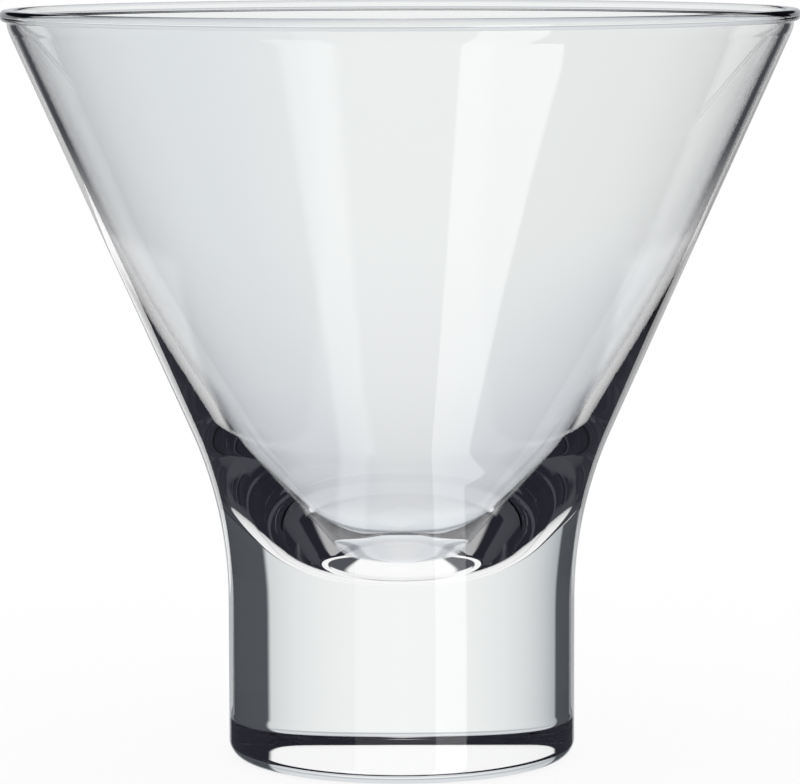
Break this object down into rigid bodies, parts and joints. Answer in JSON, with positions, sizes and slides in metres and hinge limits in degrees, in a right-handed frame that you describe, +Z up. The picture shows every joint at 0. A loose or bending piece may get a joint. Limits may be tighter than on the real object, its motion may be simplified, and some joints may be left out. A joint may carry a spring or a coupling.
{
  "type": "stemless cocktail glass",
  "caption": "Stemless cocktail glass of clear glass: a conical bowl with a rounded rim, carried by a flared, heavy solid base.",
  "frame": {"origin": "centre of the base's flat underside, on the table", "axes": "+Z up along the glass's axis; the glass looks the same from every side, so X and Y are free"},
  "size_m": [0.114, 0.114, 0.1077],
  "materials": {
    "clear_glass": "polished, clear, with a faint cool tint"
  },
  "bodies": {
    "root": {"rim": "clear_glass", "bowl": "clear_glass", "base": "clear_glass"}
  },
  "joints": []
}
